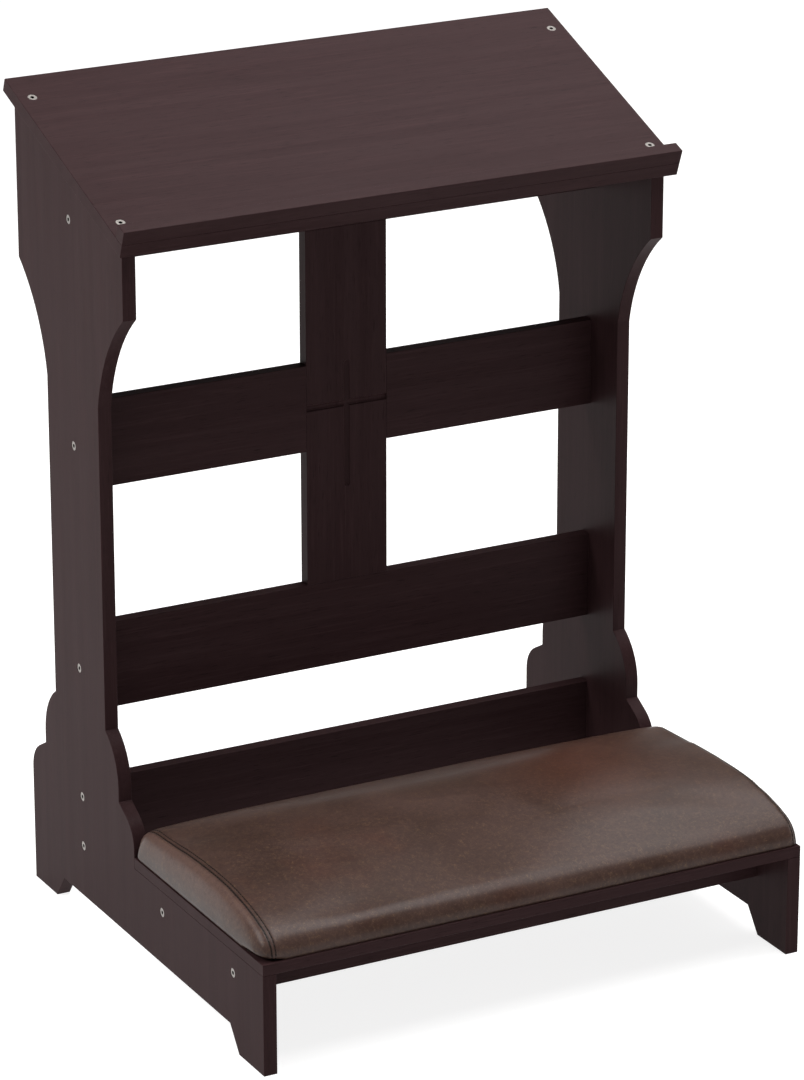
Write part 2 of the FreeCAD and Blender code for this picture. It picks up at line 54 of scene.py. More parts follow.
# %% [markdown]
# ## Camera
# The bench is seen from its front left corner and from above, by a long lens some five metres
# away. A long lens keeps the side panels nearly parallel. The small shift centres the bench
# in the view without turning the camera.

# %% Camera
LONG_SIDE_SENSOR = 36.0
CAMERA_PLACE = (-2.2609, -4.24055, 2.17966)
CAMERA_TURN = (70.221, 0.0795, -27.911)
LENS = 162.684
SHIFT = (0.008314, -0.021193)
FARTHEST_SEEN = 60

bpy.ops.object.camera_add(
    location=CAMERA_PLACE, rotation=[math.radians(angle) for angle in CAMERA_TURN])
camera = bpy.context.object
camera.name = "studio_camera"
camera.data.sensor_width = LONG_SIDE_SENSOR
camera.data.lens = LENS
camera.data.shift_x, camera.data.shift_y = SHIFT
camera.data.clip_end = FARTHEST_SEEN
bpy.context.scene.camera = camera
print("camera distance", round(camera.location.length, 3), "m")

# %% [markdown]
# ## A white floor
# A bench like this is shown on a white lit table: the floor itself glows a little, so that it
# stays white to the edge of the view and keeps only a faint shadow under the feet. It also
# throws light up on the front edges of the boards, which see little else. A wide plane with a
# glowing material is enough. The table is opal acrylic: matt, and even but for a faint cloud.
# Colours are written as hex and turned to linear in one place, and one small function adds
# every node of every material.

# %% A white floor
FLOOR_SIZE = 60
FLOOR_GLOW = 0.85


def linear(hex_colour):
    """An sRGB hex colour as the linear colour that a shader works in."""
    channels = [int(hex_colour[i : i + 2], 16) / 255 for i in (1, 3, 5)]
    return (*[
        c / 12.92 if c <= 0.04045 else ((c + 0.055) / 1.055) ** 2.4 for c in channels
    ], 1.0)


def node(tree, kind, inputs=None, output=None, **settings):
    """Adds a node with its settings, each input set to a value or linked to another output.
    Returns the output that is asked for, or else the node."""
    made = tree.nodes.new(kind)
    for name, value in settings.items():
        setattr(made, name, value)
    for name, value in (inputs or {}).items():
        if isinstance(value, bpy.types.NodeSocket):
            tree.links.new(value, made.inputs[name])
        else:
            made.inputs[name].default_value = value
    return made if output is None else made.outputs[output]


def new_material(name, **surface):
    """A material with one Principled shader, whose even values are set on its sockets."""
    material = bpy.data.materials.new(name)
    material.use_nodes = True
    shader = material.node_tree.nodes["Principled BSDF"]
    for socket, value in surface.items():
        shader.inputs[socket.replace("_", " ")].default_value = value
    return material, material.node_tree, shader


def feed(tree, shader, **patterns):
    """Links patterns to the sockets of a shader."""
    for socket, pattern in patterns.items():
        tree.links.new(pattern, shader.inputs[socket.replace("_", " ")])


def dress(piece, material):
    """Gives a piece one material all over."""
    piece.data.materials.clear()
    piece.data.materials.append(material)


bpy.ops.mesh.primitive_plane_add(size=FLOOR_SIZE, location=(0, 0, 0))
floor = bpy.context.object
floor.name = "floor"
table_top, tree, shader = new_material(
    "opal_acrylic_light_table", Roughness=0.7, Emission_Strength=FLOOR_GLOW,
    Emission_Color=linear("#FFFFFF"))
cloud = node(tree, "ShaderNodeTexNoise", {"Scale": 3.0, "Detail": 3.0}, "Fac")
feed(tree, shader, Base_Color=node(tree, "ShaderNodeMix", {
    0: cloud, 6: linear("#A5A4A3"), 7: linear("#A9A8A7")}, 2, data_type="RGBA"))
dress(floor, table_top)
print("floor", FLOOR_SIZE, "m wide, with a glow of", FLOOR_GLOW)

# %% [markdown]
# ## Light
# One big soft light overhead does the desk and the cushion, and one at the left does the side
# panel. A weak one at the right keeps the far leg from going dead, and a narrow strip above
# the front draws the bright line along the front of the cushion. Area lights are used, because
# their size sets how soft a shadow is. The plain view transform keeps the white floor white.

# %% Light
WHITE_ROOM = 0.12


def soft_light(name, place, aim, size, power, depth=None):
    """An area light at a place, turned to its aim: square, or as deep as depth says."""
    bpy.ops.object.light_add(type="AREA", location=place)
    light = bpy.context.object
    light.name = name
    light.data.shape = "RECTANGLE"
    light.data.size = size
    light.data.size_y = depth or size
    light.data.energy = power
    turn = (Vector(aim) - Vector(place)).to_track_quat("-Z", "Y")
    light.rotation_euler = turn.to_euler()
    print(name, power, "W")


soft_light("overhead_softbox", (1.2, 0.3, 3.2), (0, 0, 0.2), 3.6, 130)
soft_light("left_softbox", (-3.2, 0.5, 2.9), (0, 0, 0.6), 2.4, 155)
soft_light("right_softbox", (3.4, -0.6, 1.4), (0, 0, 0.4), 1.8, 20)
soft_light("strip_softbox", (0.6, -0.42, 3.1), (-0.2, -0.27, 0.15), 2.4, 42, depth=0.3)
world = bpy.data.worlds.new("studio")
bpy.context.scene.world = world
world.use_nodes = True
background = world.node_tree.nodes["Background"]
background.inputs["Color"].default_value = linear("#FFFFFF")
background.inputs["Strength"].default_value = WHITE_ROOM
bpy.context.scene.view_settings.view_transform = "Standard"

# %% [markdown]
# ## Colour in layers
# A stain, a plating or a hide gets its look from layers: a base colour, and over it thin
# colours that show only in some places. Each layer here is led by a pattern, such as a noise.
# Where the pattern passes from one value to another, the layer goes from nothing to its full
# strength. Each pattern's scale is worked out from a real size in millimetres.

# %% Colour in layers
def per_metre(millimetres):
    """The scale of a pattern that repeats about every so many millimetres."""
    return 1000 / millimetres


def layered(tree, base, layers):
    """Lays colours over a base colour. Each layer is a colour, as hex or as another mix, the
    pattern that leads it, the pattern's values where the layer starts and where it is full,
    and its strength there."""
    for colour, pattern, start, full, strength in layers:
        share = node(tree, "ShaderNodeMapRange", {
            "Value": pattern, "From Min": start, "From Max": full, "To Max": strength,
        }, "Result")
        paint = linear(colour) if isinstance(colour, str) else colour
        base = node(tree, "ShaderNodeMix", {0: share, 6: base, 7: paint}, 2, data_type="RGBA")
    return base


print("a pattern that repeats every millimetre has a scale of", per_metre(1))

# %% [markdown]
# ## Stained wood
# The boards are rubberwood, planed and sanded, stained espresso and sprayed with a satin
# lacquer. The stain hides most of the figure: what is left is a faint drift from board to
# board, long narrow streaks along the grain, and short pores a third of a millimetre wide.
# The lacquer gives a soft sheen, and sinks a little into the pores. The grain is solid noise,
# stretched along the board, so that the ends show end grain without more work.

# %% Stained wood
DRIFT_SPACING = 140
FIGURE_SPACING = 16
STREAK_SPACING = 2.4
PORE_SPACING = 0.7
GRAIN_STRETCH = 28
GRAIN_ALONG = {
    "X": (1 / GRAIN_STRETCH, 1, 1),
    "Y": (1, 1 / GRAIN_STRETCH, 1),
    "Z": (1, 1, 1 / GRAIN_STRETCH),
}
BOARDS = {
    "side_panel_left": "Z", "side_panel_right": "Z", "centre_upright": "Z",
    "desk_board": "X", "book_lip": "X", "upper_rail": "X", "lower_rail": "X",
    "cross_arm_left": "X", "cross_arm_right": "X", "back_apron": "X",
    "front_rail": "X", "mid_rail": "X", "kneeler_board": "X",
}
LOG_STEP = Vector((0.37, 0.61, 0.23))


def stained_wood(name, grain, log_place):
    """Espresso-stained wood with its grain along one axis, from its own place in the log."""
    material, tree, shader = new_material(name, IOR=1.45, Specular_IOR_Level=0.03)
    place = node(tree, "ShaderNodeTexCoord", output="Object")
    board = node(tree, "ShaderNodeMapping", {
        "Vector": place, "Location": log_place, "Scale": GRAIN_ALONG[grain]}, "Vector")
    figure = node(tree, "ShaderNodeTexNoise", {
        "Vector": board, "Scale": per_metre(FIGURE_SPACING), "Detail": 4.0, "Roughness": 0.55,
        "Distortion": 0.6}, "Fac")
    streaks = node(tree, "ShaderNodeTexNoise", {
        "Vector": board, "Scale": per_metre(STREAK_SPACING), "Detail": 3.0, "Roughness": 0.6,
    }, "Fac")
    pores = node(tree, "ShaderNodeTexNoise", {
        "Vector": board, "Scale": per_metre(PORE_SPACING), "Detail": 2.0, "Roughness": 0.5,
    }, "Fac")
    drift = node(tree, "ShaderNodeTexNoise", {
        "Vector": place, "Scale": per_metre(DRIFT_SPACING), "Detail": 2.0}, "Fac")
    stain = layered(tree, linear("#291A1B"), [
        ("#2F2021", figure, 0.32, 0.68, 1.0),
        ("#382728", streaks, 0.52, 0.78, 0.7),
        ("#2F2021", drift, 0.35, 0.75, 0.35),
        ("#170E0E", pores, 0.62, 0.72, 0.75),
    ])
    satin = node(tree, "ShaderNodeMapRange", {
        "Value": streaks, "From Min": 0.3, "From Max": 0.7, "To Min": 0.36, "To Max": 0.44,
    }, "Result")
    between_pores = node(tree, "ShaderNodeMapRange", {
        "Value": pores, "From Min": 0.74, "From Max": 0.60}, "Result")
    waves = node(tree, "ShaderNodeMapRange", {
        "Value": figure, "From Min": 0.3, "From Max": 0.7, "To Max": 0.5}, "Result")
    height = node(tree, "ShaderNodeMath", {0: between_pores, 1: waves}, 0, operation="ADD")
    feed(tree, shader, Base_Color=stain, Roughness=satin, Normal=node(
        tree, "ShaderNodeBump", {"Height": height, "Strength": 0.18, "Distance": 0.06 * MM},
        "Normal"))
    return material


for number, (board, grain) in enumerate(BOARDS.items()):
    dress(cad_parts[board], stained_wood(
        f"espresso_rubberwood_{board}", grain, number * LOG_STEP))
print(len(BOARDS), "boards stained")

# %% [markdown]
# ## Screws
# The connector screws are nickel-plated steel: a turned head, bright, with hair-fine
# scratches. The staples are galvanised wire, greyer and paler. A head's socket is painted
# nearly black, as painted shade in the hollow. The socket is a real hollow, so its painted
# shade only has to follow the depth below the head's face, which is measured along the way
# the head faces.

# %% Screws
SOCKET_LIP = 0.5 * MM
SOCKET_FADE = 0.1 * MM
SCRATCH_SPACING = 0.5


def plated_steel(name, colour, roughness, faces=None, sunk_at=0.0):
    """Plated steel with fine scratches. A head that faces a direction gets painted shade in
    its socket, which is what lies less far along that direction than sunk_at."""
    material, tree, shader = new_material(name, Metallic=1.0)
    place = node(tree, "ShaderNodeTexCoord", output="Object")
    scratches = node(tree, "ShaderNodeTexNoise", {
        "Vector": place, "Scale": per_metre(SCRATCH_SPACING), "Detail": 3.0}, "Fac")
    layers = [("#8F8B86", scratches, 0.45, 0.7, 1.0)]
    if faces:
        out = node(tree, "ShaderNodeVectorMath", {0: place, 1: faces}, "Value",
                   operation="DOT_PRODUCT")
        # painted shade, nearly black, in the socket's hollow
        layers.append(("#0E0B0B", out, sunk_at, sunk_at - SOCKET_FADE, 1.0))
    shine = node(tree, "ShaderNodeMapRange", {
        "Value": scratches, "From Min": 0.3, "From Max": 0.7,
        "To Min": roughness, "To Max": roughness + 0.14}, "Result")
    feed(tree, shader, Base_Color=layered(tree, linear(colour), layers), Roughness=shine,
         Normal=node(tree, "ShaderNodeBump", {
             "Height": scratches, "Strength": 0.25, "Distance": 0.03 * MM}, "Normal"))
    return material


nickel = plated_steel("nickel_plated_steel", "#8F8A86", 0.3)
galvanised = plated_steel("galvanised_wire", "#BDBDBD", 0.35)
for name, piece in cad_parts.items():
    if name.endswith("screws"):
        dress(piece, nickel)
    elif name.endswith("staples"):
        dress(piece, galvanised)
for name, outward in (("side_screws_left", (-1, 0, 0)), ("side_screws_right", (1, 0, 0))):
    side_head = max(abs(corner.x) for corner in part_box(name))
    dress(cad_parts[name], plated_steel(
        f"nickel_plate_{name}", "#8F8A86", 0.3, outward, side_head - SOCKET_LIP))
print("side screws' heads at", round(side_head / MM, 2), "mm")
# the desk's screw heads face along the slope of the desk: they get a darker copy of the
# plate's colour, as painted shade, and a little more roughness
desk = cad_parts["desk_board"].data
square_up = max(desk.polygons, key=lambda face: face.area * face.normal.z).normal.copy()
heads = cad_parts["desk_screws"].data
desk_head = max(square_up.dot(point.co) for point in heads.vertices)
dress(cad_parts["desk_screws"], plated_steel(
    "nickel_plate_desk_screws", "#66625F", 0.42, tuple(square_up), desk_head - SOCKET_LIP))
print("desk slopes", round(math.degrees(math.acos(square_up.z)), 2), "degrees")

# %% [markdown]
# ## Dowels and plywood
# The dowels are raw beech and the cushion's base is raw birch plywood. Both stay hidden, but
# they are real pieces and are finished like the rest: matt, with plain grain, and with the
# dark glue lines of the plies on the edge of the plywood.

# %% Dowels and plywood
PLY_SCALE = per_metre(9.4)  # a wave of this scale repeats every 3 mm, as two plies do
RAW_GRAIN_SPACING = 3


def raw_wood(name, pale, dark, plies=False):
    """Unfinished wood: matt, with its grain along X, and in plies if it is plywood."""
    material, tree, shader = new_material(name, IOR=1.5, Roughness=0.75)
    place = node(tree, "ShaderNodeTexCoord", output="Object")
    board = node(tree, "ShaderNodeMapping", {
        "Vector": place, "Scale": GRAIN_ALONG["X"]}, "Vector")
    grain = node(tree, "ShaderNodeTexNoise", {
        "Vector": board, "Scale": per_metre(RAW_GRAIN_SPACING), "Detail": 5.0,
        "Roughness": 0.65}, "Fac")
    layers = [(dark, grain, 0.3, 0.7, 1.0)]
    if plies:
        glue = node(tree, "ShaderNodeTexWave", {
            "Vector": place, "Scale": PLY_SCALE, "Distortion": 0.4,
        }, "Fac", bands_direction="Z")
        layers.append(("#7A5A3A", glue, 0.45, 0.55, 0.35))
    feed(tree, shader, Base_Color=layered(tree, linear(pale), layers), Normal=node(
        tree, "ShaderNodeBump", {"Height": grain, "Strength": 0.3, "Distance": 0.1 * MM},
        "Normal"))
    return material


beech = raw_wood("raw_beech", "#D3AE80", "#B98F60")
dowels = [piece for name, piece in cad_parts.items() if "dowels" in name]
for piece in dowels:
    dress(piece, beech)
dress(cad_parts["cushion_base"],
      raw_wood("raw_birch_plywood", "#D2B181", "#B38E5E", plies=True))
print(len(dowels), "groups of dowels and one plywood base")

# %% [markdown]
# ## The cushion's section
# The cushion is foam on a plywood base, with leather pulled over it: steep at the back, long
# and low at the front, crowned in the middle, with a round gusset at each end. It could be cut
# from a bent cube, but a section is easier to get right by numbers. So the start is a cube as
# long as the top panel of leather, cut across into strips, and each cut is raised to the
# height of the foam there. The block starts a little under the board's face, and is cut off
# level with it at the end: that gives the tight line of leather on wood, which cloth alone
# would round off.

# %% The cushion's section
cover_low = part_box("cushion_cover")[0]
BOARD_TOP = cover_low.z
SEAM_AT = {-1: -303 * MM, 1: 311.5 * MM}  # the cover sits a little to the right
NEAR = 0.2 * MM
FIRST_HEIGHT = 8
UNDER = 3 * MM
SECTION = [
    # behind the front edge and above the board, mm
    (0.2, 8), (3.5, 15.5), (9, 22.5), (17, 27.5), (33, 33), (46, 36.8), (70, 41.5), (100, 45),
    (125, 46), (165, 45.5), (210, 43), (248, 40), (276, 38), (290, 33), (297.6, 19),
]


def only(piece):
    """Selects one piece and nothing else."""
    bpy.ops.object.select_all(action="DESELECT")
    piece.select_set(True)
    bpy.context.view_layer.objects.active = piece


def pick(piece, wanted):
    """Selects, in edit mode, the points of a piece whose place passes a test."""
    bpy.ops.object.mode_set(mode="OBJECT")
    piece.data.polygons.foreach_set("select", [False] * len(piece.data.polygons))
    piece.data.edges.foreach_set("select", [False] * len(piece.data.edges))
    for point in piece.data.vertices:
        point.select = bool(wanted(point.co))
    bpy.ops.object.mode_set(mode="EDIT")
    bpy.ops.mesh.select_mode(type="VERT")


def cut_across(piece, place, normal):
    """Cuts a whole piece along a plane, and keeps both sides."""
    only(piece)
    bpy.ops.object.mode_set(mode="EDIT")
    bpy.ops.mesh.select_all(action="SELECT")
    bpy.ops.mesh.bisect(plane_co=place, plane_no=normal)
    bpy.ops.object.mode_set(mode="OBJECT")


front = cover_low.y + SECTION[0][0] * MM
back = cover_low.y + SECTION[-1][0] * MM
block_low = Vector((SEAM_AT[-1], front, BOARD_TOP - UNDER))
block_high = Vector((SEAM_AT[1], back, BOARD_TOP + FIRST_HEIGHT * MM))
bpy.ops.object.select_all(action="DESELECT")
bpy.ops.mesh.primitive_cube_add(size=1, location=(block_low + block_high) / 2)
cushion = bpy.context.object
cushion.name = "cushion"
cushion.dimensions = block_high - block_low
bpy.ops.object.transform_apply(location=True, rotation=True, scale=True)
for behind, above in SECTION[1:-1]:
    cut_across(cushion, (0, cover_low.y + behind * MM, 0), (0, 1, 0))
for behind, above in SECTION:
    y = cover_low.y + behind * MM
    pick(cushion, lambda place: abs(place.y - y) < NEAR and place.z > BOARD_TOP + NEAR)
    bpy.ops.transform.translate(value=(0, 0, (above - FIRST_HEIGHT) * MM))
bpy.ops.object.mode_set(mode="OBJECT")
print("cushion section", len(SECTION), "cuts,", len(cushion.data.vertices), "points")

# %% [markdown]
# ## The gussets
# A gusset is a strip of leather that closes the end of a cushion. This one rounds over from
# the seam down to the board. Each end face of the block is drawn out three times, lower and
# shorter each time. The faces are picked by their points, which all lie on a seam.

# %% The gussets
GUSSET_REACH = {-1: 12 * MM, 1: 5.5 * MM}
GUSSET = [
    # share of the reach, then how much of the height and of the depth is left
    (0.42, 0.95, 0.990), (0.36, 0.82, 0.982), (0.22, 0.56, 0.972),
]

for side in (-1, 1):
    pick(cushion, lambda place: abs(place.x - SEAM_AT[side]) < NEAR)
    bpy.ops.mesh.select_mode(type="FACE")
    reach = SEAM_AT[side]
    for share, height_left, depth_left in GUSSET:
        step = side * share * GUSSET_REACH[side]
        reach += step
        bpy.ops.mesh.extrude_region_move(TRANSFORM_OT_translate={"value": (step, 0, 0)})
        bpy.ops.transform.resize(
            value=(1, depth_left, height_left), center_override=(reach, back, BOARD_TOP))
    bpy.ops.object.mode_set(mode="OBJECT")
    print("gusset reaches x", round(reach / MM, 1), "mm")

# %% [markdown]
# ## Even squares
# Cloth needs small squares of one size, so the block is remeshed at 5 mm and its edges are
# rubbed down. The underside is pinned to the board. A band along each seam is part pinned,
# because the thread holds the leather down there.

# %% Even squares
SQUARE = 5 * MM
FREE_FROM = 1.5 * MM
FREE_OVER = 4.5 * MM
SEAM_HOLD = 0.4
SEAM_BAND = 10 * MM


def apply_modifier(piece, kind, **settings):
    """Adds a modifier with its settings and applies it at once."""
    only(piece)
    modifier = piece.modifiers.new(kind.lower(), kind)
    for name, value in settings.items():
        setattr(modifier, name, value)
    bpy.ops.object.modifier_apply(modifier=modifier.name)


def weigh(piece, name, weight_at):
    """Gives a piece a fresh vertex group, with a weight at each place. Returns its name."""
    if name in piece.vertex_groups:
        piece.vertex_groups.remove(piece.vertex_groups[name])
    group = piece.vertex_groups.new(name=name)
    for point in piece.data.vertices:
        weight = min(1.0, weight_at(point.co))
        if weight > 0:
            group.add([point.index], weight, "REPLACE")
    return name


def free(place):
    """0 or less at the board, where nothing may move, and 1 or more from 6 mm up."""
    return (place.z - BOARD_TOP - FREE_FROM) / FREE_OVER


def past_seam(place):
    """How far a place is outward of the nearer seam."""
    side = 1 if place.x > 0 else -1
    return side * (place.x - SEAM_AT[side])


def held(place):
    """1 on the board, and some hold along each seam."""
    if place.z < BOARD_TOP + FREE_FROM:
        return 1.0
    return SEAM_HOLD * (1 - abs(past_seam(place)) / SEAM_BAND)


apply_modifier(cushion, "REMESH", mode="VOXEL", voxel_size=SQUARE)
apply_modifier(cushion, "SMOOTH", factor=0.5, iterations=5,
               vertex_group=weigh(cushion, "free", free))
weigh(cushion, "held", held)
print("cushion remeshed to", len(cushion.data.vertices), "points")

# %% [markdown]
# ## Swelling it
# Foam pushes the leather out from inside, and a cloth simulation with pressure does the same.
# Leather hardly stretches and doesn't like to fold, so the cloth is stiff. Twenty frames of
# pressure fill it. Gravity is off, because the foam carries the leather. No point may end up
# more than 9 mm from where it started.

# %% Swelling the cushion
SWELL_FRAMES = 20
MOST_SWELL = 9 * MM

before = [point.co.copy() for point in cushion.data.vertices]
only(cushion)
cloth = cushion.modifiers.new("cloth", "CLOTH").settings
cloth.quality = 6
cloth.mass = 0.4
cloth.tension_stiffness = cloth.compression_stiffness = cloth.shear_stiffness = 80
cloth.bending_stiffness = 150
cloth.tension_damping = cloth.compression_damping = cloth.shear_damping = 25
cloth.use_pressure = True
cloth.uniform_pressure_force = 4
cloth.vertex_group_mass = "held"
cloth.effector_weights.gravity = 0
for step in range(1, SWELL_FRAMES + 1):
    bpy.context.scene.frame_set(step)
bpy.ops.object.modifier_apply(modifier="cloth")
bpy.context.scene.frame_set(1)
furthest = 0
for point, start in zip(cushion.data.vertices, before):
    move = point.co - start
    furthest = max(furthest, move.length)
    if move.length > MOST_SWELL:
        point.co = start + move.normalized() * MOST_SWELL
print("cushion swelled by up to", round(furthest / MM, 1), "mm")

# %% [markdown]
# ## Softness
# The top is calm and broad, so it is smoothed more than the edges are. The foam is thickest
# high at the back, in the middle. Foam is never quite even either, so a broad cloud pattern
# moves the leather by a few tenths of a millimetre. Modifiers do all of it, each led by a
# vertex group whose weights come from a small function of the place.

# %% Softness
BACK_FILL = 4.5 * MM
CLOUD_LIFT = 0.6 * MM
CLOUD_SIZE = 85 * MM
HALF_CROWN = 300 * MM
CREASE_TO_TOP = (26 * MM, 60 * MM)  # behind the front
BACK_TO_TOP = (12 * MM, 40 * MM)  # before the back
SEAM_TO_TOP = (6 * MM, 30 * MM)  # inward of a seam
FILL_BEHIND = (110 * MM, 230 * MM)
FILL_BEFORE = (0, 14 * MM)
FILL_ABOVE = (4 * MM, 30 * MM)


def ramp(value, start, end):
    """0 up to start, 1 from end, and straight between them."""
    return min(1, max(0, (value - start) / (end - start)))


def broad_top(place):
    """1 on the broad top, fading out before the front crease, the seams and the back."""
    return (ramp(place.y - front, *CREASE_TO_TOP) * ramp(back - place.y, *BACK_TO_TOP)
            * ramp(-past_seam(place), *SEAM_TO_TOP))


def full_back(place):
    """1 high at the back in the middle, where the foam is thickest."""
    middle = 1 - min(1, abs(place.x) / HALF_CROWN) ** 4
    return (middle * ramp(place.y - front, *FILL_BEHIND) * ramp(back - place.y, *FILL_BEFORE)
            * ramp(place.z - BOARD_TOP, *FILL_ABOVE))


apply_modifier(cushion, "SMOOTH", factor=0.5, iterations=3,
               vertex_group=weigh(cushion, "free", free))
apply_modifier(cushion, "SUBSURF", levels=1, render_levels=1)
apply_modifier(cushion, "SMOOTH", factor=0.5, iterations=60,
               vertex_group=weigh(cushion, "broad_top", broad_top))
apply_modifier(cushion, "DISPLACE", direction="Z", strength=BACK_FILL, mid_level=0,
               vertex_group=weigh(cushion, "full_back", full_back))
foam_cloud = bpy.data.textures.new("foam_cloud", "CLOUDS")
foam_cloud.noise_scale = CLOUD_SIZE
foam_cloud.noise_depth = 1
apply_modifier(cushion, "DISPLACE", texture=foam_cloud, texture_coords="LOCAL",
               strength=CLOUD_LIFT, mid_level=0.4, vertex_group=weigh(cushion, "free", free))
print("crown at", round(max(point.co.z for point in cushion.data.vertices) / MM, 1), "mm")

# %% [markdown]
# ## Seams
# Two lines of sewing run over each end. The outer line is the seam that joins top and gusset,
# deep and narrow. The inner one, 4 mm away, is a row of top stitching, which only dimples the
# leather. The mesh is too coarse for such lines, so it is first cut along them, and a little
# to each side too, and then drawn in.

# %% Seams
TOP_STITCH = 4 * MM
SEAM_CUTS = (-4.9, -4.4, -4.0, -3.6, -3.1, -1.8, -0.9, -0.4, 0, 0.4, 0.9, 1.8)
SEAM_DEPTH = 1.1 * MM
SEAM_WIDTH = 0.7 * MM
PULLED_WIDTH = 3.5 * MM
DIMPLE_DEPTH = 0.45 * MM
DIMPLE_WIDTH = 0.8 * MM


def bell(distance, width):
    """1 at no distance, and dying away smoothly within about two widths."""
    return math.exp(-((distance / width) ** 2))


def seam_groove(place):
    """How deep the joining seam draws the leather in."""
    out = past_seam(place)
    return (0.7 * bell(out, SEAM_WIDTH) + 0.3 * bell(out, PULLED_WIDTH)) * min(1, free(place))


def stitch_dimple(place):
    """How deep the top stitching presses the leather."""
    return bell(past_seam(place) + TOP_STITCH, DIMPLE_WIDTH) * min(1, free(place))


for side in (-1, 1):
    for offset in SEAM_CUTS:
        cut_across(cushion, (SEAM_AT[side] + side * offset * MM, 0, 0), (1, 0, 0))
apply_modifier(cushion, "DISPLACE", strength=-SEAM_DEPTH, mid_level=0,
               vertex_group=weigh(cushion, "seam_groove", seam_groove))
apply_modifier(cushion, "DISPLACE", strength=-DIMPLE_DEPTH, mid_level=0,
               vertex_group=weigh(cushion, "stitch_dimple", stitch_dimple))
print("seams drawn in, with", 2 * len(SEAM_CUTS), "cuts")

# %% [markdown]
# ## The lifted corner, and the foot
# The front left corner of the gusset stands off the board by a few millimetres, as a stapled
# cover often does. Then the block is cut off level, a hair above the board, and closed.

# %% The lifted corner, and the foot
CLEARANCE = 0.05 * MM
CORNER_LIFT = 6 * MM
CORNER_X = -310 * MM
CORNER_ACROSS = 22 * MM
CORNER_ALONG = 48 * MM
CORNER_HIGH = 22 * MM
SHARPEST_SMOOTH = 50


def lifted_corner(place):
    """1 at the low front left corner, and nothing a few centimetres away."""
    across = max(0, 1 - abs(place.x - CORNER_X) / CORNER_ACROSS)
    along = max(0, 1 - abs(place.y - front) / CORNER_ALONG)
    low = max(0, 1 - (place.z - BOARD_TOP) / CORNER_HIGH)
    return (across * along) ** 0.5 * low


apply_modifier(cushion, "DISPLACE", direction="Z", strength=CORNER_LIFT, mid_level=0,
               vertex_group=weigh(cushion, "lifted_corner", lifted_corner))
cushion.vertex_groups.clear()
only(cushion)
bpy.ops.object.mode_set(mode="EDIT")
bpy.ops.mesh.select_all(action="SELECT")
bpy.ops.mesh.bisect(plane_co=(0, 0, BOARD_TOP + CLEARANCE), plane_no=(0, 0, 1),
                    clear_inner=True, use_fill=True)
bpy.ops.object.mode_set(mode="OBJECT")
bpy.ops.object.shade_smooth_by_angle(angle=math.radians(SHARPEST_SMOOTH))
corners = [[function(point.co[axis] for point in cushion.data.vertices) for axis in range(3)]
           for function in (min, max)]
print("cushion", [[round(value / MM, 1) for value in corner] for corner in corners],
      len(cushion.data.polygons), "faces")

# %% [markdown]
# ## One stitch
# Waxed thread shows as short dark stitches, each sinking into the leather at both ends. One
# stitch is made from a thin cylinder, cut near each end, with the ends drawn in and pushed
# down. Upholstery thread is about half a millimetre thick, and is nearly twice that here, so
# that it shows.

# %% One stitch
STITCH_LENGTH = 3.3 * MM
THREAD = 0.95 * MM
BEND_AT = 0.3 * STITCH_LENGTH
END_FROM = 0.45 * STITCH_LENGTH
END_THIN = 0.6
END_SINK = 0.5 * THREAD

bpy.ops.object.select_all(action="DESELECT")
bpy.ops.mesh.primitive_cylinder_add(
    vertices=8, radius=THREAD / 2, depth=STITCH_LENGTH, rotation=(0, math.radians(90), 0))
stitch = bpy.context.object
bpy.ops.object.transform_apply(location=True, rotation=True, scale=True)
for along in (-BEND_AT, BEND_AT):
    cut_across(stitch, (along, 0, 0), (1, 0, 0))
pick(stitch, lambda place: abs(place.x) > END_FROM)
bpy.ops.transform.resize(value=(1, END_THIN, END_THIN), center_override=(0, 0, 0))
bpy.ops.transform.translate(value=(0, 0, -END_SINK))
bpy.ops.object.mode_set(mode="OBJECT")
bpy.ops.object.shade_smooth()
print("one stitch,", len(stitch.data.polygons), "faces")

# %% [markdown]
# ## Four rows of stitches
# The stitch is copied along both lines of sewing at each end of the cushion. Its places are
# found by casting a fan of rays at the leather from inside, and then walking along the hits
# at the pitch of the stitch. Each row is joined into one piece.

# %% Four rows of stitches
STITCH_PITCH = 4.4 * MM
LOWEST_STITCH = 2.5 * MM
FAN_HEIGHT = 1 * MM
RAYS = 720
leather_skin = BVHTree.FromPolygons(
    [point.co for point in cushion.data.vertices],
    [face.vertices for face in cushion.data.polygons])


def skin_line(x, centre_y):
    """Points and normals on the leather at one x, from the front foot over to the back."""
    line = []
    centre = Vector((x, centre_y, BOARD_TOP + FAN_HEIGHT))
    for step in range(RAYS + 1):
        angle = math.pi * (1 - step / RAYS)
        ray = Vector((0, math.cos(angle), math.sin(angle)))
        place, normal, _, _ = leather_skin.ray_cast(centre, ray)
        if place is not None and place.z > BOARD_TOP + LOWEST_STITCH:
            line.append((place, normal if normal.dot(ray) > 0 else -normal))
    return line


def stitch_row(name, x, proud):
    """Copies the stitch along the leather at one x, and joins the row into one piece."""
    line = skin_line(x, (front + back) / 2)
    copies = []
    walked = STITCH_PITCH
    for (here, normal), (there, _) in zip(line, line[1:]):
        walked += (there - here).length
        if walked < STITCH_PITCH:
            continue
        walked = 0
        along = (there - here).normalized()
        normal = (normal - normal.dot(along) * along).normalized()
        turn = Matrix((along, normal.cross(along), normal)).transposed().to_4x4()
        one = stitch.copy()
        one.data = stitch.data.copy()
        one.data.transform(Matrix.Translation(here + normal * proud) @ turn)
        bpy.context.collection.objects.link(one)
        copies.append(one)
    bpy.ops.object.select_all(action="DESELECT")
    for one in copies:
        one.select_set(True)
    bpy.context.view_layer.objects.active = copies[0]
    bpy.ops.object.join()
    row = bpy.context.object
    row.name = name
    print(name, len(copies), "stitches")
    return row


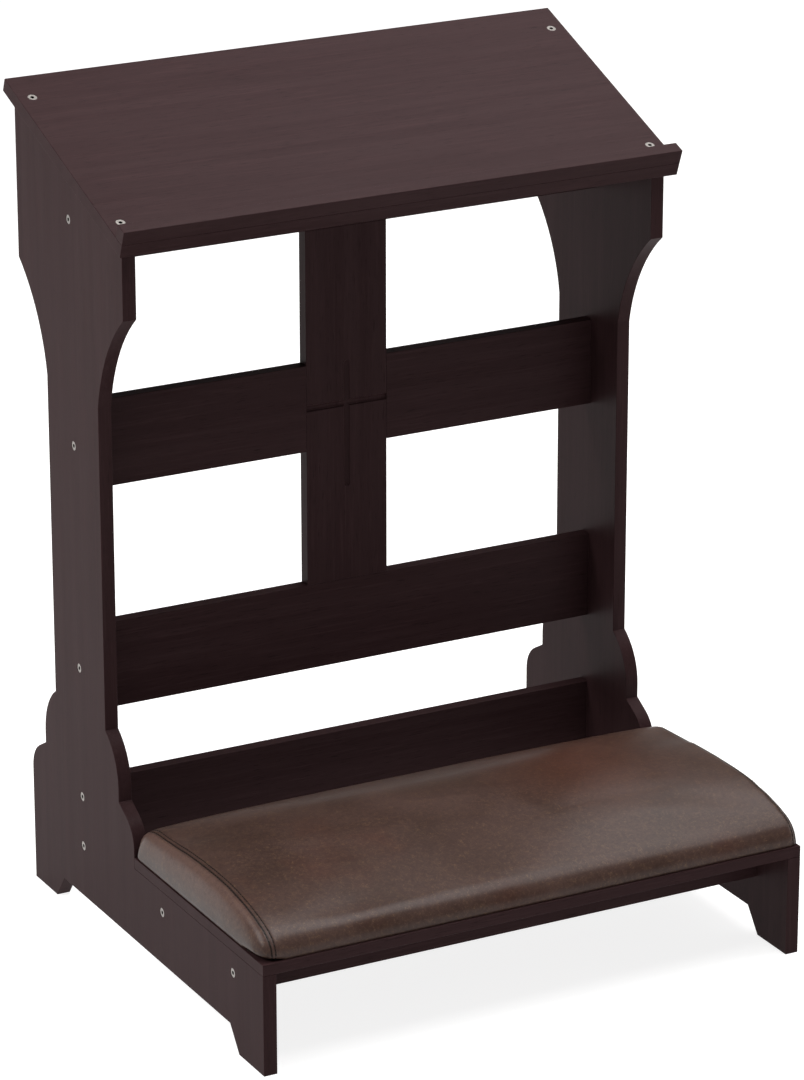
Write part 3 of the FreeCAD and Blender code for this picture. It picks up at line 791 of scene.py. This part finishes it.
thread_rows = []
for side, word in ((-1, "left"), (1, "right")):
    thread_rows.append(stitch_row(
        f"top_stitching_{word}", SEAM_AT[side] - side * TOP_STITCH, 0.2 * MM))
    thread_rows.append(stitch_row(f"seam_thread_{word}", SEAM_AT[side], 0.1 * MM))
bpy.data.objects.remove(stitch, do_unlink=True)

# %% [markdown]
# ## Patterns in the leather
# Pull-up leather is dyed through and waxed. It has cloudy lighter and redder patches, a fine
# pebble, and pale hair-thin veins where the wax has cracked. Each is a noise or a Voronoi
# pattern at its own size. The veins are warped a little, so that they don't run straight, and
# they show only in some places. The pebble is really a millimetre across, and is drawn a
# little coarser so that it shows.

# %% Patterns in the leather
CLOUD_PATCH = 95
RED_PATCH = 170
FINE_SPECK = 5
PEBBLE = 1.6
VEIN_MESH = 4.5
VEIN_WANDER = 9
WANDER_SHARE = 0.012

leather, tree, shader = new_material(
    "waxed_pull_up_leather", IOR=1.42, Specular_IOR_Level=0.2)
place = node(tree, "ShaderNodeTexCoord", output="Object")
clouds = node(tree, "ShaderNodeTexNoise", {
    "Vector": place, "Scale": per_metre(CLOUD_PATCH), "Detail": 5.0, "Roughness": 0.55,
    "Distortion": 0.4}, "Fac")
shifted = node(tree, "ShaderNodeMapping", {
    "Vector": place, "Location": (3.1, 1.7, 0.4)}, "Vector")
red_clouds = node(tree, "ShaderNodeTexNoise", {
    "Vector": shifted, "Scale": per_metre(RED_PATCH), "Detail": 4.0, "Roughness": 0.6}, "Fac")
fine = node(tree, "ShaderNodeTexNoise", {
    "Vector": place, "Scale": per_metre(FINE_SPECK), "Detail": 6.0, "Roughness": 0.7,
    "Distortion": 0.8}, "Fac")
pebble = node(tree, "ShaderNodeTexVoronoi", {
    "Vector": place, "Scale": per_metre(PEBBLE), "Randomness": 1.0,
}, "Distance", feature="DISTANCE_TO_EDGE")
vein_warp = node(tree, "ShaderNodeTexNoise", {
    "Vector": place, "Scale": per_metre(VEIN_WANDER), "Detail": 3.0}, "Color")
warped = node(tree, "ShaderNodeMix", {
    0: WANDER_SHARE, 4: place, 5: vein_warp}, 1, data_type="VECTOR")
veins = node(tree, "ShaderNodeTexVoronoi", {
    "Vector": warped, "Scale": per_metre(VEIN_MESH), "Randomness": 1.0,
}, "Distance", feature="DISTANCE_TO_EDGE")
on_vein = node(tree, "ShaderNodeMapRange", {
    "Value": veins, "From Min": 0.05, "From Max": 0.0, "To Max": 0.42}, "Result")
cracked = node(tree, "ShaderNodeMapRange", {
    "Value": fine, "From Min": 0.45, "From Max": 0.65}, "Result")
vein_share = node(tree, "ShaderNodeMath", {0: on_vein, 1: cracked}, 0, operation="MULTIPLY")
print("leather patterns,", len(tree.nodes), "nodes so far")

# %% [markdown]
# ## Where leather wears
# Wear follows use. Where a right knee rests, the wax is rubbed and the redder hide shows
# through. Each gusset gets painted shade at its foot and a painted sheen at its top, by
# height.
# The two lines of sewing get painted shade, nearly black, in the seam groove and the dimples.
# Each is a distance from a known place.

# %% Where leather wears, and painted light and shade
RUBBED_SPOT = (0.155, -0.075, 0.17)
RUBBED_HEART = 0.02
RUBBED_REACH = 0.13
# each gusset's painted shade is full below the first height, its painted sheen above the
# second
PAINTED_SHADE_FOOT = 6 * MM
PAINTED_SHEEN_TOP = 36 * MM
GUSSET_EDGE = 4 * MM
# the painted shade along the seam groove and stitch dimples is full within this distance
SEAM_SHADE_CORE = 0.2 * MM

from_knee = node(tree, "ShaderNodeVectorMath", {0: place, 1: RUBBED_SPOT}, "Value",
                 operation="DISTANCE")
under_knee = node(tree, "ShaderNodeMapRange", {
    "Value": from_knee, "From Min": RUBBED_REACH, "From Max": RUBBED_HEART, "To Max": 0.55,
}, "Result")
patchy = node(tree, "ShaderNodeMapRange", {
    "Value": fine, "From Min": 0.35, "From Max": 0.6, "To Min": 0.55}, "Result")
rubbed = node(tree, "ShaderNodeMath", {0: under_knee, 1: patchy}, 0, operation="MULTIPLY")
axes = node(tree, "ShaderNodeSeparateXYZ", {0: place})
# painted shade at the foot of each gusset, going over into a painted sheen at its top
gusset_painted_shade_and_sheen = layered(tree, linear("#281D1A"), [
    ("#5A4640", axes.outputs["Z"], BOARD_TOP + PAINTED_SHADE_FOOT, BOARD_TOP + PAINTED_SHEEN_TOP, 1.0)])
gusset_painted_layers = []
seam_painted_shade = []
for side, seam in SEAM_AT.items():
    gusset_painted_layers.append(
        (gusset_painted_shade_and_sheen, axes.outputs["X"], seam, seam + side * GUSSET_EDGE, 0.8))
    # painted shade, nearly black, in the seam groove and in the dimples of the top stitching
    for line, half_width, strength in (
            (seam, 1.4 * MM, 0.97), (seam - side * TOP_STITCH, 0.9 * MM, 0.7)):
        off = node(tree, "ShaderNodeMath", {
            0: axes.outputs["X"], 1: line}, 0, operation="SUBTRACT")
        away = node(tree, "ShaderNodeMath", {0: off}, 0, operation="ABSOLUTE")
        seam_painted_shade.append(("#120A08", away, half_width, SEAM_SHADE_CORE, strength))
print(len(gusset_painted_layers), "gussets and", len(seam_painted_shade), "lines of sewing to darken")

# %% [markdown]
# ## Leather
# The layers go on in this order: dye, then wear, then painted shade and sheen on the gussets,
# then fine specks, veins and pebble, then painted shade in the seams. The shine is soft and
# broad, a little duller in the clouds, and the pebble stands up by a tenth of a millimetre.

# %% Leather
hide = layered(tree, linear("#392A25"), [
    ("#45342F", clouds, 0.34, 0.66, 1.0),
    ("#47261C", red_clouds, 0.55, 0.75, 0.5),
    ("#4E281C", rubbed, 0.0, 1.0, 1.0),
    # painted shade and sheen on the gussets
    *gusset_painted_layers,
    ("#56412F", fine, 0.5, 0.75, 0.4),
    ("#291C18", fine, 0.5, 0.28, 0.45),
    ("#7C634C", vein_share, 0.0, 1.0, 1.0),
    ("#241712", pebble, 0.12, 0.0, 0.3),
    # painted shade in the seam groove and stitch dimples
    *seam_painted_shade,
])
shine = node(tree, "ShaderNodeMapRange", {
    "Value": clouds, "From Min": 0.3, "From Max": 0.7, "To Min": 0.28, "To Max": 0.38,
}, "Result")
raised = node(tree, "ShaderNodeMapRange", {
    "Value": pebble, "From Max": 0.3, "To Max": 0.5}, "Result")
height = node(tree, "ShaderNodeMath", {0: raised, 1: fine}, 0, operation="ADD")
feed(tree, shader, Base_Color=hide, Roughness=shine, Normal=node(
    tree, "ShaderNodeBump", {"Height": height, "Strength": 0.35, "Distance": 0.12 * MM},
    "Normal"))
dress(cushion, leather)
print("leather on", cushion.name, "with", len(tree.nodes), "nodes")

# %% [markdown]
# ## Thread
# The thread is waxed polyester, nearly black and matt, with a twist along it that a wave
# pattern gives.

# %% Thread
TWIST_SCALE = per_metre(4.5)  # a diagonal wave of this scale repeats every 2.8 mm

thread, tree, shader = new_material(
    "waxed_polyester_thread", IOR=1.5, Roughness=0.6, Specular_IOR_Level=0.15)
place = node(tree, "ShaderNodeTexCoord", output="Object")
twist = node(tree, "ShaderNodeTexWave", {
    "Vector": place, "Scale": TWIST_SCALE, "Distortion": 1.0,
}, "Fac", bands_direction="DIAGONAL")
feed(tree, shader, Base_Color=layered(tree, linear("#0B0706"), [
    ("#160F0D", twist, 0.0, 1.0, 1.0)]), Normal=node(
        tree, "ShaderNodeBump", {"Height": twist, "Strength": 0.5, "Distance": 0.1 * MM},
        "Normal"))
for row in thread_rows:
    dress(row, thread)
    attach(row, "root")
print("thread on", len(thread_rows), "rows of stitches")

# %% [markdown]
# ## What the cushion stands for
# The new cushion takes the place of two CAD nodes, the cover and the foam. It is padded: a
# closed skin of leather over foam that fills it. The whole bench is one body, so the cushion
# rides on the root.

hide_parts("cushion_cover", "cushion_foam")
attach(cushion, "root")
